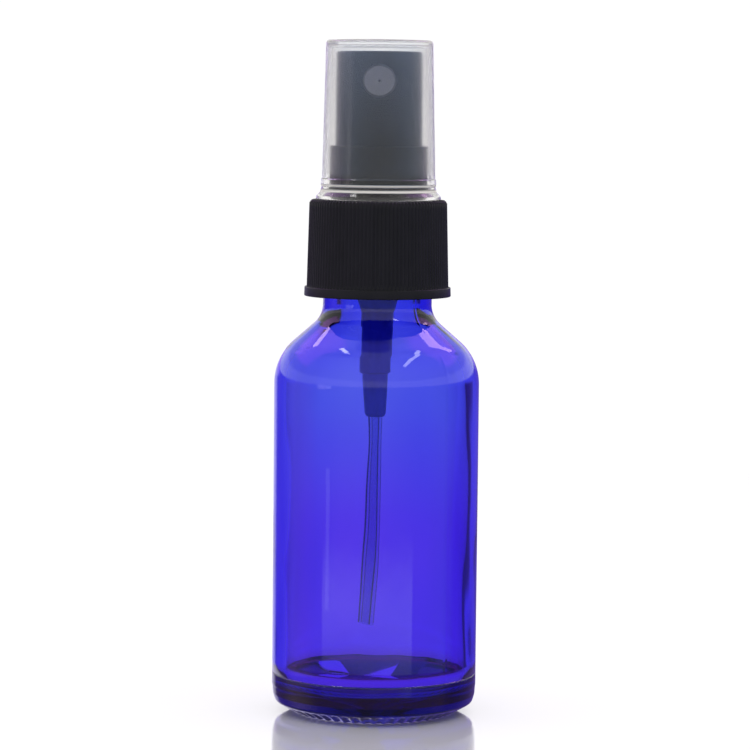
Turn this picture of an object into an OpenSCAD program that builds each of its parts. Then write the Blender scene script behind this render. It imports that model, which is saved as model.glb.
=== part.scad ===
// Perfume atomiser: a blue glass bottle with a screw-on fine-mist finger pump and a clear overcap.
// Millimetres. The bottle stands on z = 0 with its axis on the z axis, and the nozzle faces -Y.
// Heights of the pump are counted from the lip of the bottle, so a taller bottle lifts all of it.

/* [Bottle] */
// Outer diameter of the glass body
body_d = 33; // [31:0.5:35]
// Height of the bottle from the table to the lip of its neck
bottle_h = 78.8; // [74:0.2:90]
// Outer diameter of the neck between the threads
neck_d = 17.5; // [17.4:0.05:17.6]
// Diameter of the bore through the neck
neck_bore_d = 12; // [11:0.5:12.5]
// Thickness of the glass in the straight wall
wall = 1.85; // [1.6:0.05:2.2]
// Radius of the rounded shoulder
shoulder_r = 9; // [8:0.25:9.25]
// Number of ridges round the outer edge of the base
base_ridges = 52; // [40:1:60]

/* [Thread] */
// Rise of the screw thread in one turn
pitch = 3.175; // [3.1:0.025:3.3]
// Turns of thread on the neck
neck_turns = 1.5; // [1.25:0.25:1.5]
// Turns of thread inside the closure
closure_turns = 1.25; // [1:0.25:1.25]

/* [Closure] */
// Diameter of the smooth flange at the closure's lower edge
flange_d = 23.6; // [23.4:0.1:24.4]
// Diameter over the ribs
rib_d = 22.7; // [22.6:0.1:23]
// Number of grip ribs
rib_count = 110; // [80:2:120]
// Outer diameter of the collar that guides the actuator
collar_d = 15.7; // [15.6:0.1:15.8]

/* [Pump] */
// Travel of the actuator when it is pressed
stroke = 4; // [3:0.25:4]
// Diameter of the bore that the piston runs in
piston_bore_d = 7.2; // [7:0.1:7.2]
// Diameter of the hollow stem
stem_d = 3.5; // [3.4:0.05:3.5]
// Turns in the return spring
spring_turns = 12; // [10:1:14]
// Wire diameter of the return spring
spring_wire = 0.4; // [0.3:0.05:0.4]
// Diameter of the inlet check ball
ball_d = 2; // [1.9:0.05:2]

/* [Dip tube] */
// Outer diameter of the dip tube
tube_d = 2.55; // [2.4:0.05:2.55]
// Bore of the dip tube
tube_bore_d = 1.2; // [1:0.1:1.4]
// Height of the lower end of the dip tube above the table
tube_end_z = 13.6; // [10:0.2:20]
// Sideways set of the lower end, from the tube having been coiled when new
tube_set = 1.26; // [0.6:0.02:3]

/* [Actuator and overcap] */
// Diameter of the actuator at its lower edge
actuator_d = 14; // [13.8:0.05:14.1]
// Diameter of the nozzle insert
nozzle_d = 5.2; // [4.8:0.1:5.2]
// Diameter of the overcap's foot
overcap_foot_d = 20.1; // [19.6:0.1:20.4]
// Thickness of the overcap's wall
overcap_wall = 0.85; // [0.7:0.05:0.9]

/* [Hidden] */
$fn = 96;

glass_blue = [0.16, 0.14, 0.78, 0.55];
moulded_black = [0.09, 0.09, 0.11];
milky_clear = [0.88, 0.89, 0.92, 0.45];
natural_white = [0.80, 0.81, 0.84];
pump_grey = [0.16, 0.17, 0.22];
steel = [0.72, 0.73, 0.75];

gap = 0.05;         // clearance between pieces that slide, turn or rest on each other
seat_gap = 0.03;    // clearance at the valve seats
thread_steps = 24;  // facets in one turn of a thread

// Bottle
body_r = body_d / 2;
neck_r = neck_d / 2;
inner_r = body_r - wall;
lip_z = bottle_h;
heel_z = 4.5;                     // top of the heel, where the straight wall starts
shoulder_z = lip_z - 25.6;        // where the straight wall ends
neck_fillet_r = 4.2;              // hollow curve between the shoulder and the neck
neck_z = lip_z - 12.8;            // where that curve meets the neck
bearing_in = body_r - 4.9;        // flat ring that the bottle stands on
bearing_out = body_r - 3.6;
push_up = 1.2;                    // rise of the middle of the base
floor_z = 4.2;                    // inside of the base at its edge
floor_rise = 0.5;
floor_corner_r = 2.2;
throat_r = 5;                     // curve from the neck bore into the inner shoulder

// Threads
thread_z = lip_z - 7.8;           // centre of the neck thread's first full turn
thread_crest_r = 9.85;
skirt_in_r = 10.1;
closure_crest_r = 9.05;
load_offset = pitch / 2 - 0.1;    // the closure's thread lies this far below the neck's

// Closure
closure_z = lip_z - 11.5;
flange_h = 1.5;
rib_depth = 0.2;
cap_top_z = lip_z + 3.95;
cap_roof_z = lip_z + 2.25;        // underside of the closure's top wall
cap_bevel = 0.4;
collar_r = collar_d / 2;
collar_in_r = collar_r - 0.7;
collar_z = lip_z + 12.6;
neck_hole_r = 5.75;

// Pump
housing_bottom = lip_z - 30.9;
flange_z = lip_z + 1;
flange_top = lip_z + 2.2;
housing_flange_r = 8.3;
barrel_r = 4.65;
bore_r = piston_bore_d / 2;
spring_bore_r = 1.9;
ledge_z = lip_z - 21.8;           // ledge under the return spring
seat_tip_z = lip_z - 24.7;        // point where the cone of the ball seat would close
socket_step_z = lip_z - 24;       // step between the tube socket and the spring chamber
chamber_top = lip_z - 13.95;      // top of the spring chamber, outside
barrel_z = lip_z - 7;             // lower end of the straight barrel, outside
bore_cone_z = lip_z - 13.8;       // inside, the chamber widens from here
bore_z = lip_z - 8.9;             // to the piston bore here
neck_tube_r = 5.6;                // housing above its flange, inside the closure's hole
neck_tube_top = lip_z + 4.4;
guide_z = lip_z + 0.2;            // lower end of the lock ring's sleeve, the piston's upper stop
lock_ring_r = 6.6;
lock_top = lip_z + 5.3;
stem_r = stem_d / 2;
stem_bore_r = 0.85;
stem_bottom = lip_z - 2.4;
stem_top = lip_z + 17.2;
slip = 0.4;                       // how far the piston slides on the stem to open the outlet
piston_top = guide_z - seat_gap;
stem_shoulder_z = piston_top + slip + seat_gap / 2;
valve_top = lip_z - 3.6;          // seat that closes the piston's lower end
valve_bottom = lip_z - 4.9;
pin_r = 0.83;
spring_mean_r = 1.55;
ball_r = ball_d / 2;
ball_z = seat_tip_z + sqrt(2) * (ball_r + seat_gap);
socket_r = tube_d / 2 + 0.02;
socket_top = seat_tip_z - 0.1;

// Actuator and overcap
actuator_r = actuator_d / 2;
actuator_z = lock_top + stroke + 0.4;
actuator_top = lip_z + 27.65;
actuator_draft = 0.15;
actuator_wall = 0.9;
nozzle_z = lip_z + 22.9;
nozzle_r = nozzle_d / 2;
nozzle_face = 6.4;                // distance of the insert's face from the axis
nozzle_back = 3.6;
post_r = 1.6;
foot_r = overcap_foot_d / 2;
foot_z = cap_top_z + gap;
overcap_r = 9.1;
overcap_top_r = 8.56;
overcap_top = lip_z + 29.6;

// Points along an arc about c from angle a0 to a1
function arc(c, r, a0, a1, n = 8) =
    [for (i = [0:n]) c + r * [cos(a0 + (a1 - a0) * i / n), sin(a0 + (a1 - a0) * i / n)]];

// Solid of revolution from [radius, height] points
module lathe(points) {
    rotate_extrude() polygon(points);
}

// Plain ring
module ring(r_out, r_in, z0, z1) {
    lathe([[r_in, z0], [r_out, z0], [r_out, z1], [r_in, z1]]);
}

// Closed tube through rings of points, with flat ends
module sweep(rings) {
    n = len(rings);
    m = len(rings[0]);
    points = [for (one = rings) for (p = one) p];
    sides = [for (i = [0:n - 2]) for (j = [0:m - 1])
        let (a = i * m + j, b = i * m + (j + 1) % m) each [[a, b, b + m], [a, b + m, a + m]]];
    ends = [[for (j = [m - 1:-1:0]) j], [for (j = [0:m - 1]) (n - 1) * m + j]];
    polyhedron(points, concat(sides, ends), convexity = 8);
}

// Screw thread: a ridge of half-width w_root at root_r and w_crest at crest_r, faded out at both ends
module thread(root_r, crest_r, w_root, w_crest, z0, turns) {
    steps = round(turns * thread_steps);
    fade = thread_steps / 8;
    outward = crest_r > root_r;
    rings = [for (i = [0:steps])
        let (a = 360 * i / thread_steps,
             z = z0 + pitch * i / thread_steps,
             k = min(1, (0.25 + min(i, steps - i)) / fade),
             r = root_r + (crest_r - root_r) * k,
             w = w_root + (w_crest - w_root) * k,
             section = [[root_r, z - w_root], [r, z - w], [r, z + w], [root_r, z + w_root]])
        [for (j = [0:3]) let (p = outward ? section[j] : section[3 - j])
            [p[0] * cos(a), p[0] * sin(a), p[1]]]];
    sweep(rings);
}

// Centres of the shoulder curve and of the hollow curve above it, and the angle at which one runs into the other
shoulder_c = [body_r - shoulder_r, shoulder_z];
fillet_c = [neck_r + neck_fillet_r, neck_z];
between = fillet_c - shoulder_c;
lean = atan2(between[1], between[0]) - acos((shoulder_r + neck_fillet_r) / norm(between));

// Outside of the bottle, from the middle of the base up to the lip
function bottle_outside() =
    concat(
        [[0, push_up], [bearing_in * 0.7, push_up * 0.75], [bearing_in, 0], [bearing_out, 0]],
        [[body_r - 0.9, 1.5], [body_r - 0.35, 2.1], [body_r - 0.1, 3.2], [body_r, heel_z]],
        arc(shoulder_c, shoulder_r, 0, lean, 10),
        arc(fillet_c, neck_fillet_r, 180 + lean, 180, 8),
        arc([neck_r - 0.6, lip_z - 0.6], 0.6, 0, 90, 4));

// Inside of the bottle, from the lip down to the middle of the floor; the throat follows the outer curves
function bottle_inside() =
    let (bore = neck_bore_d / 2,
         r = shoulder_r - wall,
         across = bore + throat_r - shoulder_c[0],
         throat_c = [bore + throat_r, shoulder_z + (r + throat_r - across * cos(lean)) / sin(lean)])
    concat(
        arc([bore + 0.4, lip_z - 0.4], 0.4, 90, 180, 3),
        arc(throat_c, throat_r, 180, 180 + lean, 8),
        arc(shoulder_c, r, lean, 0, 10),
        arc([inner_r - floor_corner_r, floor_z + floor_corner_r], floor_corner_r, 0, -90, 6),
        [[inner_r * 0.4, floor_z + floor_rise * 0.8], [0, floor_z + floor_rise]]);

module bottle() {
    color(glass_blue) {
        difference() {
            lathe(concat(bottle_outside(), bottle_inside()));
            for (i = [0:base_ridges - 1])
                rotate(360 * i / base_ridges)
                    translate([bearing_out + 0.25, 0, -0.35])
                        rotate([0, 55.4, 0])
                            cylinder(h = 1.6, r = 0.5, $fn = 16);
        }
        thread(neck_r - 0.25, thread_crest_r, 1.05, 0.45, thread_z, neck_turns);
    }
}

module closure() {
    teeth = [for (i = [0:2 * rib_count - 1])
        let (a = 180 * i / rib_count, r = rib_d / 2 - (i % 2) * rib_depth) [r * cos(a), r * sin(a)]];
    root_r = rib_d / 2 - rib_depth;
    color(moulded_black) {
        lathe(concat(
            [[skirt_in_r + 0.3, closure_z], [flange_d / 2, closure_z]],
            [[flange_d / 2, closure_z + flange_h - 0.15], [flange_d / 2 - 0.15, closure_z + flange_h]],
            [[root_r - 0.1, closure_z + flange_h], [root_r - 0.1, cap_top_z - cap_bevel]],
            [[root_r - 0.1 - cap_bevel, cap_top_z], [collar_r, cap_top_z]],
            [[collar_r, cap_top_z + 1.4], [collar_r + 0.25, cap_top_z + 1.6]],
            [[collar_r + 0.25, cap_top_z + 2], [collar_r, cap_top_z + 2.2]],
            [[collar_r, collar_z - 0.15], [collar_r - 0.15, collar_z], [collar_in_r, collar_z]],
            [[collar_in_r, cap_top_z], [neck_hole_r, cap_top_z], [neck_hole_r, cap_roof_z]],
            [[skirt_in_r, cap_roof_z], [skirt_in_r, closure_z + 0.3]]));
        difference() {
            translate([0, 0, closure_z + flange_h - 0.1])
                linear_extrude(cap_top_z - cap_bevel - closure_z - flange_h) polygon(teeth);
            translate([0, 0, closure_z])
                cylinder(h = cap_top_z, r = skirt_in_r + 0.4);
        }
        thread(skirt_in_r + 0.3, closure_crest_r, 1, 0.5, thread_z - load_offset, closure_turns);
    }
}

module overcap() {
    inner_top = overcap_top - 0.9;
    color(milky_clear)
        lathe(concat(
            [[foot_r - 1, foot_z], [foot_r, foot_z], [foot_r, foot_z + 0.3]],
            arc([foot_r, foot_z + 2.1], 0.95, 238, 180, 5),
            [[overcap_r + 0.14, foot_z + 2.3], [overcap_r + 0.14, foot_z + 3.2], [overcap_r, foot_z + 3.3]],
            arc([overcap_top_r - 0.5, overcap_top - 0.65], 0.5, 0, 80, 5),
            [[0, overcap_top], [0, inner_top]],
            arc([overcap_top_r - overcap_wall - 0.5, inner_top - 0.65], 0.5, 80, 0, 5),
            [[overcap_r - overcap_wall, foot_z + 2.2], [overcap_r - overcap_wall + 0.1, foot_z + 1.2]]));
}

module actuator() {
    top_r = actuator_r - actuator_draft;
    in_r = actuator_r - actuator_wall;
    roof_z = actuator_top - 1.35;
    color(moulded_black)
        difference() {
            union() {
                lathe(concat(
                    [[in_r, actuator_z], [actuator_r, actuator_z]],
                    arc([top_r - 0.4, actuator_top - 0.4], 0.4, 0, 90, 4),
                    [[top_r * 0.5, actuator_top - 0.32], [0, actuator_top - 0.4], [0, roof_z]],
                    [[in_r - 0.15, roof_z]]));
                translate([0, 0, stem_top - 4])
                    cylinder(h = roof_z - stem_top + 4.3, r = 2.8);
                translate([0, 0, nozzle_z])
                    rotate([90, 0, 0])
                        cylinder(h = nozzle_face - 0.35, r = nozzle_r + 0.6);
            }
            translate([0, 0, stem_top - 5])
                cylinder(h = 5 + gap, r = stem_r + gap);
            translate([0, 0, stem_top - 1])
                cylinder(h = nozzle_z - stem_top - 0.3, r = 0.8);
            translate([0, 0, nozzle_z - 2.05])
                rotate([90, 0, 0])
                    cylinder(h = nozzle_back + 0.2, r = 0.45);
            translate([0, -nozzle_back, nozzle_z])
                rotate([90, 0, 0])
                    difference() {
                        cylinder(h = 5, r = nozzle_r);
                        translate([0, 0, -1])
                            cylinder(h = nozzle_face - nozzle_back - 0.7 + 1, r = post_r);
                    }
        }
}

module nozzle_insert() {
    face = nozzle_face;
    back = nozzle_back + 0.35;
    bore = post_r + 0.03;
    color(natural_white)
        translate([0, 0, nozzle_z])
            rotate([90, 0, 0])
                lathe([[0.15, face - 0.15], [0.45, face], [nozzle_r - 0.2, face],
                       [nozzle_r - 0.02, face - 0.2], [nozzle_r - 0.02, back], [bore, back],
                       [bore, face - 0.65], [0.6, face - 0.65], [0.6, face - 0.45], [0.15, face - 0.4]]);
}

module stem() {
    color(natural_white)
        lathe([[stem_bore_r, stem_bottom], [stem_r, stem_bottom], [stem_r, stem_shoulder_z],
               [stem_r + 0.55, stem_shoulder_z], [stem_r + 0.55, stem_shoulder_z + 0.8],
               [stem_r, stem_shoulder_z + 1], [stem_r, stem_top - 0.3], [stem_r - 0.3, stem_top],
               [stem_bore_r, stem_top]]);
}

module valve_pin() {
    color(natural_white) {
        lathe([[0, valve_bottom - 2], [0.9, valve_bottom - 2], [1.2, valve_bottom - 1.6],
               [1.2, valve_bottom], [2.2, valve_bottom], [2.2, valve_top - 0.3], [1.9, valve_top],
               [1.2, valve_top], [1.2, stem_bottom - 0.02], [0, stem_bottom - 0.02]]);
        difference() {
            translate([0, 0, stem_bottom - 0.5])
                cylinder(h = 3.5, r = pin_r);
            for (side = [-1, 1])
                translate([side - 0.5, -1, stem_bottom - 0.02])
                    cube([1, 2, 4]);
        }
    }
}

module piston() {
    in_r = stem_r + gap;
    lip_r = bore_r - gap;
    top = piston_top;
    bottom = valve_top + seat_gap;
    color(natural_white)
        lathe([[in_r, bottom], [in_r + 0.35, bottom], [in_r + 0.7, bottom + 0.4],
               [in_r + 0.7, bottom + 1.4], [lip_r - 0.45, bottom + 1.4], [lip_r - 0.35, bottom + 0.2],
               [lip_r, bottom + 0.1], [lip_r, top - 0.1], [lip_r - 0.1, top], [lip_r - 0.5, top],
               [lip_r - 0.5, bottom + 2.4], [in_r + 0.6, bottom + 2.4], [in_r + 0.6, top], [in_r, top]]);
}

module return_spring() {
    r = spring_wire / 2;
    steps = 14;
    low = ledge_z + r + 0.02;
    high = valve_bottom - r - 0.02;
    n = steps * spring_turns;
    rings = [for (i = [0:n])
        let (a = 360 * i / steps, z = low + (high - low) * i / n)
        [for (j = [0:5])
            [(spring_mean_r + r * cos(60 * j)) * cos(a), (spring_mean_r + r * cos(60 * j)) * sin(a),
             z + r * sin(60 * j)]]];
    color(steel) sweep([for (one = rings) [for (j = [5:-1:0]) one[j]]]);
}

module lock_ring() {
    rim_z = cap_top_z + gap;
    color(natural_white)
        lathe([[bore_r - gap, guide_z], [bore_r - gap, neck_tube_top + 0.05],
               [neck_tube_r + 0.02, neck_tube_top + 0.05], [neck_tube_r + 0.02, rim_z],
               [lock_ring_r, rim_z], [lock_ring_r, lock_top - 0.3], [lock_ring_r - 0.3, lock_top],
               [stem_r + 0.07, lock_top], [stem_r + 0.07, neck_tube_top + 0.05],
               [stem_r + 0.75, neck_tube_top + 0.05], [stem_r + 0.75, guide_z]]);
}

module pump_housing() {
    tip = housing_bottom;
    cage_r = ball_r + 0.15;
    inlet_r = 0.6;
    color(pump_grey)
        lathe([[socket_r, tip], [1.55, tip], [1.77, tip + 0.45], [1.95, socket_step_z],
               [2.4, socket_step_z + 0.3], [2.57, chamber_top], [3.23, chamber_top + 1.71],
               [barrel_r - 0.25, barrel_z - 2.2], [barrel_r, barrel_z], [barrel_r, flange_z],
               [housing_flange_r, flange_z], [housing_flange_r, flange_top],
               [neck_tube_r, flange_top], [neck_tube_r, neck_tube_top], [bore_r, neck_tube_top],
               [bore_r, bore_z], [spring_bore_r, bore_cone_z], [spring_bore_r, ledge_z],
               [ball_r - 0.1, ledge_z], [ball_r - 0.1, ledge_z - 0.15], [cage_r, ledge_z - 0.4],
               [cage_r, seat_tip_z + cage_r], [inlet_r, seat_tip_z + inlet_r], [inlet_r, socket_top],
               [socket_r, socket_top]]);
}

module check_ball() {
    color(steel)
        translate([0, 0, ball_z])
            sphere(r = ball_r, $fn = 64);
}

module gasket() {
    color("white")
        ring(8.5, barrel_r + 0.25, lip_z + 0.02, flange_z - 0.02);
}

module dip_tube() {
    drop = housing_bottom - tube_end_z;
    bend_r = (pow(drop, 2) + pow(tube_set, 2)) / (2 * tube_set);
    sweep_angle = asin(drop / bend_r);
    color(milky_clear)
        difference() {
            union() {
                ring(tube_d / 2, tube_bore_d / 2, housing_bottom, socket_top - 0.1);
                translate([-bend_r, 0, housing_bottom])
                    rotate([90, 0, 0])
                        rotate_extrude(angle = -sweep_angle)
                            translate([bend_r, 0])
                                difference() {
                                    circle(d = tube_d, $fn = 48);
                                    circle(d = tube_bore_d, $fn = 48);
                                }
            }
            translate([-tube_set, 0, tube_end_z + 0.5])
                rotate([0, 11, 0])
                    translate([-5, -5, -10])
                        cube(10);
        }
}

bottle();
closure();
overcap();
actuator();
nozzle_insert();
stem();
valve_pin();
piston();
return_spring();
lock_ring();
pump_housing();
check_ball();
gasket();
dip_tube();
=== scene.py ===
"""Perfume atomiser: blue glass bottle, black fine-mist pump and clear overcap, on a pale board."""

import math

import bmesh
import bpy
from mathutils import Matrix, Vector, noise


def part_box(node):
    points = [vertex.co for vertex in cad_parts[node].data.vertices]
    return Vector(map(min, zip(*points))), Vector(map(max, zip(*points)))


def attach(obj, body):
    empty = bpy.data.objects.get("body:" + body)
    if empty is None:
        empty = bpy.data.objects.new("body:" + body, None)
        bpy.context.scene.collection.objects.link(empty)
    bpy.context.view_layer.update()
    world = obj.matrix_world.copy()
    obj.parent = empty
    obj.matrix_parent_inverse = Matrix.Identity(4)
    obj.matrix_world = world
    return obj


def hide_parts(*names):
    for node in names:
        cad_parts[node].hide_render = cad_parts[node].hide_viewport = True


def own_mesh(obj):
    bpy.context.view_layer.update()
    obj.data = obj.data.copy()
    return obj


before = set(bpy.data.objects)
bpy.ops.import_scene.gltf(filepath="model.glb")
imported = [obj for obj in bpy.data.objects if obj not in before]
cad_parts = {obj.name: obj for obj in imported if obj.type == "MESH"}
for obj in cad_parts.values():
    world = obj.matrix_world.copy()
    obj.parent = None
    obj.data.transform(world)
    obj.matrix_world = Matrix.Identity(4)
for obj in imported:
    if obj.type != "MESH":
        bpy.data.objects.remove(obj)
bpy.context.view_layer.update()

MM = 0.001
TURN = 2 * math.pi

# Heights in millimetres above the table, from the frame
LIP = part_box("bottle")[1].z / MM
CAP_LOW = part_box("closure")[0].z / MM
COLLAR_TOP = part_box("closure")[1].z / MM
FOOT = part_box("overcap")[0].z / MM
HOOD_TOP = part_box("overcap")[1].z / MM
BUTTON_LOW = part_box("actuator")[0].z / MM
BUTTON_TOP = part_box("actuator")[1].z / MM
NOZZLE = (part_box("nozzle_insert")[0].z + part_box("nozzle_insert")[1].z) / 2 / MM
STEM_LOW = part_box("stem")[0].z / MM
STEM_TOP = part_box("stem")[1].z / MM
PIN_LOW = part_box("valve_pin")[0].z / MM
PIN_HEAD = PIN_LOW + 2
PISTON_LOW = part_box("piston")[0].z / MM
PISTON_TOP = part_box("piston")[1].z / MM
RING_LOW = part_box("lock_ring")[0].z / MM
RING_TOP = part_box("lock_ring")[1].z / MM
HOUSING_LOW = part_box("pump_housing")[0].z / MM
HOUSING_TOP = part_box("pump_housing")[1].z / MM
SPRING_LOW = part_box("return_spring")[0].z / MM
TUBE_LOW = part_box("dip_tube")[0].z / MM
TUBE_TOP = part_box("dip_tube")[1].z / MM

# Radii in millimetres
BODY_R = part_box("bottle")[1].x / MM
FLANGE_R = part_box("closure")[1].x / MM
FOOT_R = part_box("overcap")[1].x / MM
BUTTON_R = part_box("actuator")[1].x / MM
NECK_R = 8.75
WALL = 1.85
PITCH = 3.175


# ---------------------------------------------------------------- shapes


def rounded(corners, steps=4):
    """Outline through (radius, height, rounding) corners, each rounded by its own radius."""
    points = []
    count = len(corners)
    for i, (x, z, fillet) in enumerate(corners):
        here = Vector((x, z))
        if fillet <= 0:
            points.append(here)
            continue
        before = Vector(corners[i - 1][:2]) - here
        after = Vector(corners[(i + 1) % count][:2]) - here
        half = before.angle(after) / 2
        reach = min(fillet / math.tan(half), before.length * 0.48, after.length * 0.48)
        start = here + before.normalized() * reach
        end = here + after.normalized() * reach
        for k in range(steps + 1):
            t = k / steps
            points.append(start * (1 - t) ** 2 + here * 2 * t * (1 - t) + end * t * t)
    return points


def arc(cx, cz, radius, start, end, steps=12):
    """Points along an arc in the outline's plane; angles in degrees."""
    span = [math.radians(start + (end - start) * i / steps) for i in range(steps + 1)]
    return [Vector((cx + radius * math.cos(a), cz + radius * math.sin(a))) for a in span]


def spread(points, longest):
    """The same outline with long stretches divided, so that a relief has points to act on."""
    dense = []
    for a, b in zip(points, points[1:] + points[:1]):
        parts = max(1, math.ceil((b - a).length / longest))
        dense += [a.lerp(b, k / parts) for k in range(parts)]
    return dense


def new_object(name, bm, smooth=True, sharp=None):
    """An object from a bmesh in millimetres."""
    bmesh.ops.scale(bm, vec=(MM, MM, MM), verts=bm.verts)
    bmesh.ops.recalc_face_normals(bm, faces=bm.faces)
    mesh = bpy.data.meshes.new(name)
    bm.to_mesh(mesh)
    bm.free()
    if smooth:
        mesh.shade_smooth()
        if sharp:
            mesh.set_sharp_from_angle(angle=math.radians(sharp))
    thing = bpy.data.objects.new(name, mesh)
    bpy.context.scene.collection.objects.link(thing)
    return thing


def lathe_mesh(outline, segments, relief=None):
    """A closed turned form in a bmesh.

    relief(angle, radius, height) returns a point's own radius and height.
    """
    bm = bmesh.new()
    rows = []
    for p in outline:
        if p.x < 1e-6:
            rows.append([bm.verts.new((0, 0, p.y))])
            continue
        row = []
        for k in range(segments):
            a = TURN * k / segments
            r, z = relief(a, p.x, p.y) if relief else (p.x, p.y)
            row.append(bm.verts.new((r * math.cos(a), r * math.sin(a), z)))
        rows.append(row)
    for low, high in zip(rows, rows[1:] + rows[:1]):
        if len(low) == 1 and len(high) == 1:
            continue
        for k in range(segments):
            n = (k + 1) % segments
            if len(low) == 1:
                bm.faces.new((low[0], high[k], high[n]))
            elif len(high) == 1:
                bm.faces.new((low[n], low[k], high[0]))
            else:
                bm.faces.new((low[n], low[k], high[k], high[n]))
    return bm


def lathe(name, outline, segments=96, relief=None, sharp=None):
    """A turned piece about the z axis."""
    return new_object(name, lathe_mesh(outline, segments, relief), sharp=sharp)


def swept(name, path, radius, sides):
    """A round rod along a list of points, closed at both ends."""
    bm = bmesh.new()
    rings = []
    count = len(path)
    for i, p in enumerate(path):
        ahead = (path[min(i + 1, count - 1)] - path[max(i - 1, 0)]).normalized()
        other = Vector((0, 0, 1)) if abs(ahead.z) < 0.9 else Vector((0, 1, 0))
        side = ahead.cross(other).normalized()
        up = side.cross(ahead)
        ring = []
        for k in range(sides):
            a = TURN * k / sides
            ring.append(bm.verts.new(p + (side * math.cos(a) + up * math.sin(a)) * radius))
        rings.append(ring)
    for low, high in zip(rings, rings[1:]):
        for k in range(sides):
            bm.faces.new((low[k], low[(k + 1) % sides], high[(k + 1) % sides], high[k]))
    bm.faces.new(list(reversed(rings[0])))
    bm.faces.new(rings[-1])
    return new_object(name, bm, sharp=50)


def smooth_step(low, high, value):
    """0 below low, 1 above high, and a smooth rise between."""
    t = min(1, max(0, (value - low) / (high - low)))
    return t * t * (3 - 2 * t)


def thread_height(angle, height, start, turns, half_root, half_crest):
    """How much of a screw thread's full height stands at this place, from 0 to 1."""
    best = 0
    along = angle / TURN
    for turn in range(-1, math.ceil(turns) + 1):
        t = along + turn
        if not 0 <= t <= turns:
            continue
        off = abs(height - (start + PITCH * t))
        ridge = 1 - smooth_step(half_crest, half_root, off)
        fade = smooth_step(0, 0.16, min(t, turns - t))
        best = max(best, ridge * fade)
    return best


def cut(piece, tool, operation="DIFFERENCE"):
    """Cuts piece with tool, or joins them, and removes tool."""
    modifier = piece.modifiers.new("cut", "BOOLEAN")
    modifier.operation = operation
    modifier.object = tool
    modifier.solver = "EXACT"
    graph = bpy.context.evaluated_depsgraph_get()
    mesh = bpy.data.meshes.new_from_object(piece.evaluated_get(graph))
    piece.modifiers.clear()
    piece.data = mesh
    bpy.data.objects.remove(tool)


# ---------------------------------------------------------------- materials


class Nodes:
    """A material's node tree, with short calls to add and link nodes."""

    def __init__(self, name):
        self.material = bpy.data.materials.new(name)
        self.material.use_nodes = True
        self.tree = self.material.node_tree
        self.shader = self.tree.nodes["Principled BSDF"]
        self.output = self.tree.nodes["Material Output"]

    def add(self, kind, **inputs):
        node = self.tree.nodes.new(kind)
        for key, value in inputs.items():
            node.inputs[key.replace("_", " ")].default_value = value
        return node

    def link(self, source, target):
        self.tree.links.new(source, target)

    def set(self, **inputs):
        for key, value in inputs.items():
            self.shader.inputs[key.replace("_", " ")].default_value = value

    def coords(self, scale=(1, 1, 1)):
        """Object coordinates in millimetres, stretched by scale."""
        place = self.add("ShaderNodeTexCoord")
        mapping = self.add("ShaderNodeMapping", Scale=[s / MM for s in scale])
        self.link(place.outputs["Object"], mapping.inputs["Vector"])
        return mapping.outputs["Vector"]

    def height(self):
        """Height above the object's own origin, in metres."""
        place = self.add("ShaderNodeTexCoord")
        parts = self.add("ShaderNodeSeparateXYZ")
        self.link(place.outputs["Object"], parts.inputs["Vector"])
        return parts.outputs["Z"]

    def maths(self, operation, *values):
        """A math node; each value is a number or another node's output."""
        node = self.add("ShaderNodeMath")
        node.operation = operation
        for socket, value in zip(node.inputs, values):
            if isinstance(value, (int, float)):
                socket.default_value = value
            else:
                self.link(value, socket)
        return node.outputs["Value"]

    def noise(self, scale, stretch=(1, 1, 1), detail=3, roughness=0.5):
        texture = self.add("ShaderNodeTexNoise", Scale=scale, Detail=detail, Roughness=roughness)
        self.link(self.coords(stretch), texture.inputs["Vector"])
        return texture.outputs["Fac"]

    def ramp(self, source, low, high, at=(0.0, 1.0), between=()):
        """Colour from low to high as source goes through at; between lists more stops."""
        node = self.add("ShaderNodeValToRGB")
        for stop, colour, place in zip(node.color_ramp.elements, (low, high), at):
            stop.color = (*colour, 1)
            stop.position = place
        for place, colour in between:
            node.color_ramp.elements.new(place).color = (*colour, 1)
        self.link(source, node.inputs["Fac"])
        return node.outputs["Color"]

    def span(self, source, low, high, source_low=0.0, source_high=1.0):
        """Number that goes from low to high as source does."""
        node = self.add("ShaderNodeMapRange")
        node.inputs["From Min"].default_value = source_low
        node.inputs["From Max"].default_value = source_high
        node.inputs["To Min"].default_value = low
        node.inputs["To Max"].default_value = high
        self.link(source, node.inputs["Value"])
        return node.outputs["Result"]

    def bump(self, source, strength, distance):
        """Bumps the shader's normal by source; the distance is in millimetres."""
        node = self.add("ShaderNodeBump", Strength=strength, Distance=distance * MM)
        self.link(source, node.inputs["Height"])
        self.link(node.outputs["Normal"], self.shader.inputs["Normal"])


def blue_glass():
    """Cobalt glass: bluer at the shoulder, violet below, deepest and a little duller in the heel."""
    m = Nodes("cobalt_glass")
    m.set(IOR=1.52, Transmission_Weight=1.0)
    m.link(m.span(m.height(), 0.08, 0.0, 0.0047, 0.0056), m.shader.inputs["Roughness"])
    heel, lower, shoulder = (0.80, 0.36, 0.48), (0.92, 0.50, 1.0), (0.90, 1.0, 1.0)
    height = m.span(m.height(), 0, 1, 0.0, 0.050)
    zones = m.ramp(height, heel, shoulder, (0.095, 1.0), [(0.168, lower), (0.60, lower)])
    m.link(zones, m.shader.inputs["Base Color"])
    m.bump(m.noise(0.16, (1, 1, 0.45), detail=2), 0.25, 0.08)
    volume = m.add("ShaderNodeVolumeAbsorption", Color=(0.154, 0.167, 0.94, 1), Density=800)
    m.link(volume.outputs["Volume"], m.output.inputs["Volume"])
    return m.material


# Painted highlight bands on the hood's foot: height above the foot and half width in millimetres, and
# strength
HOOD_HIGHLIGHT_BANDS = ((1.38, 0.26, 1.0), (2.25, 0.26, 0.66), (3.3, 0.12, 0.10))


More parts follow.
